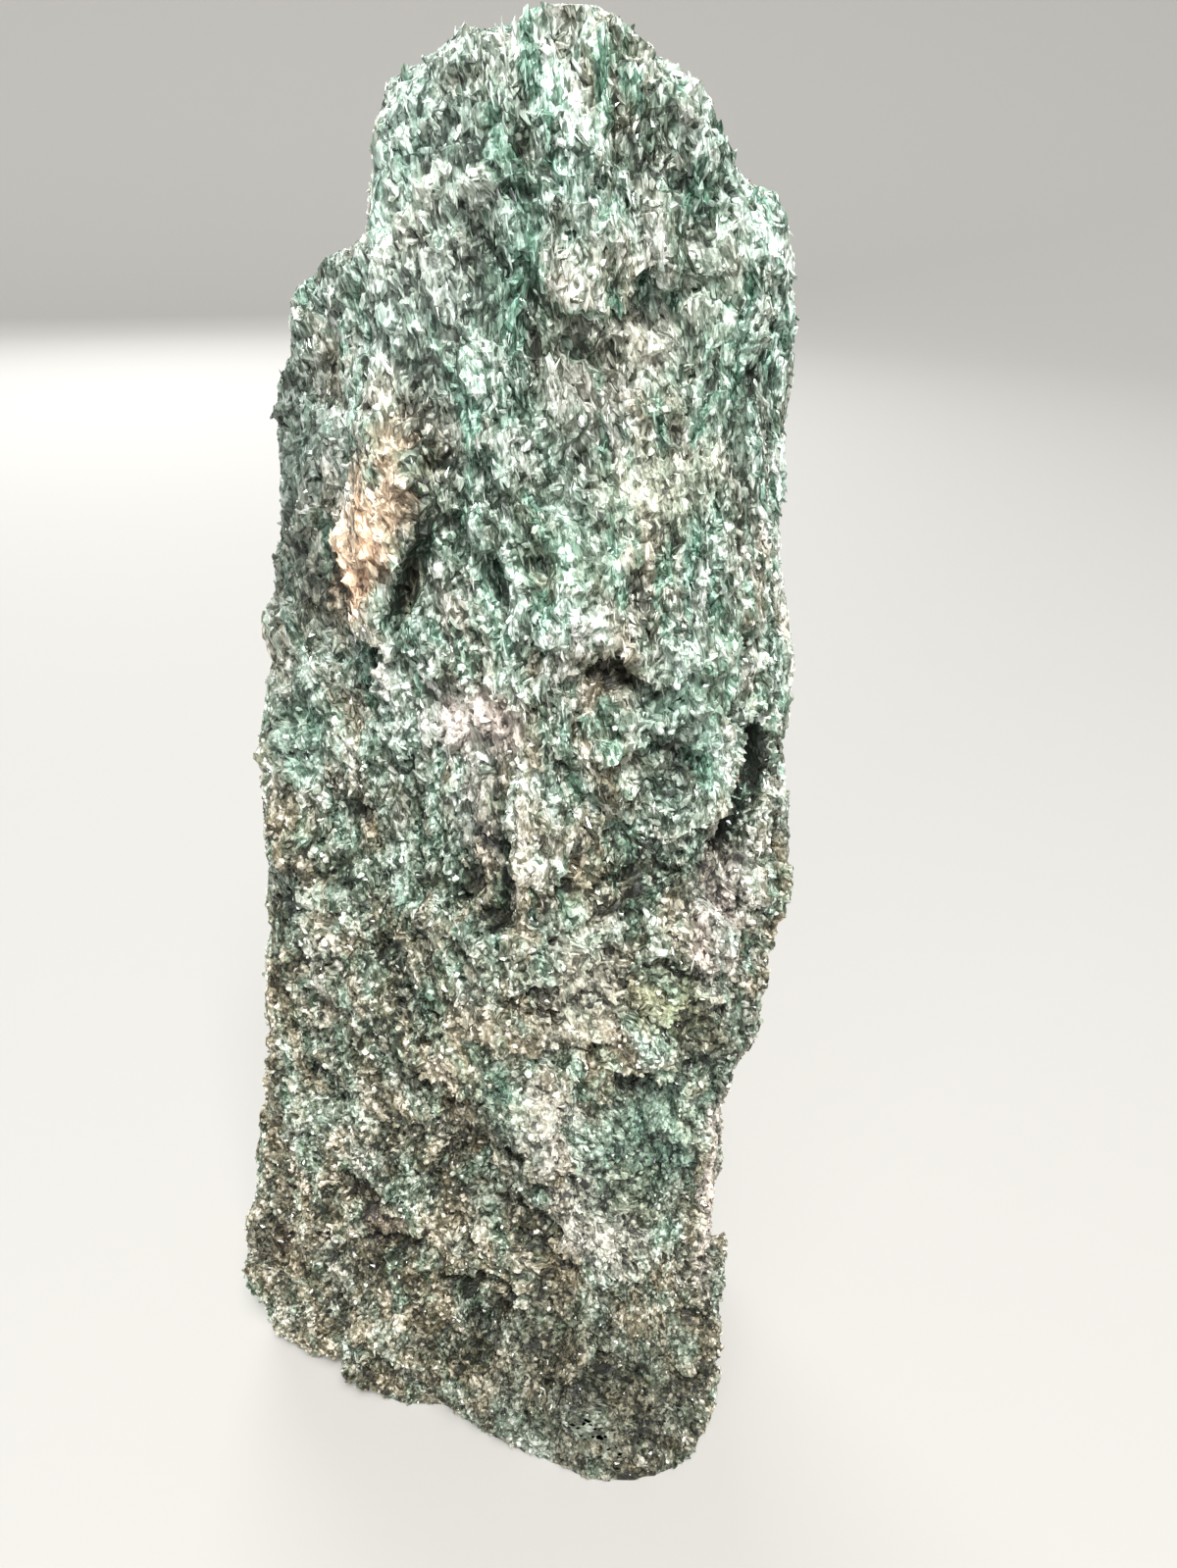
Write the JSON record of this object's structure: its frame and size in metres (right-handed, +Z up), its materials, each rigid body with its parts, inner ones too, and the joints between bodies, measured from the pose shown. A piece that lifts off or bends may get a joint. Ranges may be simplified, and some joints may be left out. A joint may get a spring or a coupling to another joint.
{
  "type": "fuchsite boulder",
  "caption": "Raw boulder of green mica schist standing upright on its broken foot, with a broad rough front, sheeted flanks and a stepped crown",
  "frame": {"origin": "centre of the box round the boulder, on the flat foot that it stands on", "axes": "+Z up along the boulder's height, -Y towards the broad front that the picture shows, +X to the viewer's right"},
  "size_m": [0.1064, 0.0862, 0.2526],
  "materials": {
    "fuchsite_schist": "rough broken surface of green and silvery mica flakes with cream and grey quartz grains; small flat glints"
  },
  "bodies": {
    "root": {"boulder": "fuchsite_schist"}
  },
  "joints": []
}
